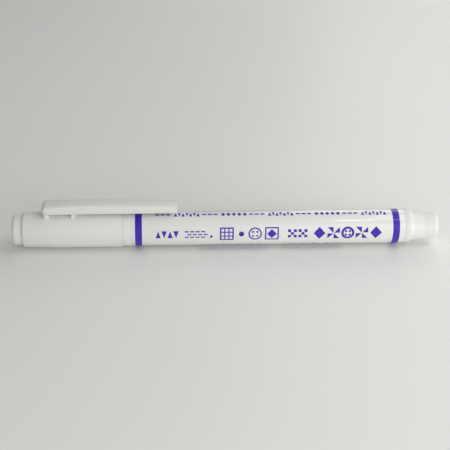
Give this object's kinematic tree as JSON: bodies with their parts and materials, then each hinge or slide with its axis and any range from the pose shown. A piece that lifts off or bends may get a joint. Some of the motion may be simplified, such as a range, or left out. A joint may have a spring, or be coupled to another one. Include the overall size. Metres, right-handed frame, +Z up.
{
  "type": "marking pen",
  "caption": "Slim fabric marking pen lying on its side: white barrel, pull-off cap with sprung pocket clip, sealed nib end and stepped tail stub.",
  "frame": {"origin": "under the middle of the pen, on the surface that it lies on", "axes": "X runs along the pen from the capped end (-X) to the tail (+X); +Z is up, the side that the pocket clip is on; Y goes across"},
  "size_m": [0.138, 0.0118, 0.0158],
  "materials": {
    "barrel_plastic": "glossy white",
    "fitting_plastic": "satin white",
    "cap_plastic": "satin white",
    "liner_plastic": "natural, translucent",
    "film_plastic": "thin clear film",
    "nib_fibre": "pressed fibre",
    "reservoir_fibre": "loose fibre bundle",
    "print_ink": "purple ink printed on the barrel"
  },
  "bodies": {
    "barrel": {"barrel": "barrel_plastic", "front_section": "fitting_plastic", "nib": "nib_fibre", "reservoir_core": "reservoir_fibre", "reservoir_film": "film_plastic", "tail_collar": "fitting_plastic", "tail_plug": "fitting_plastic"},
    "cap": {"cap_shell": "cap_plastic", "cap_crown": "cap_plastic", "inner_cap": "liner_plastic", "clip_root": "cap_plastic"},
    "clip": {"clip_arm": "cap_plastic"}
  },
  "joints": [
    {"name": "cap_pull", "type": "slide", "parent": "barrel", "child": "cap", "axis": [-1, 0, 0], "range_m": [0, 0.045]},
    {"name": "clip_flex", "type": "hinge", "parent": "cap", "child": "clip", "pos_m": [-0.0476, 0, 0.01417], "axis": [0, -1, 0], "range_deg": [0, 5], "stiffness_Nm_per_rad": 0.12}
  ]
}
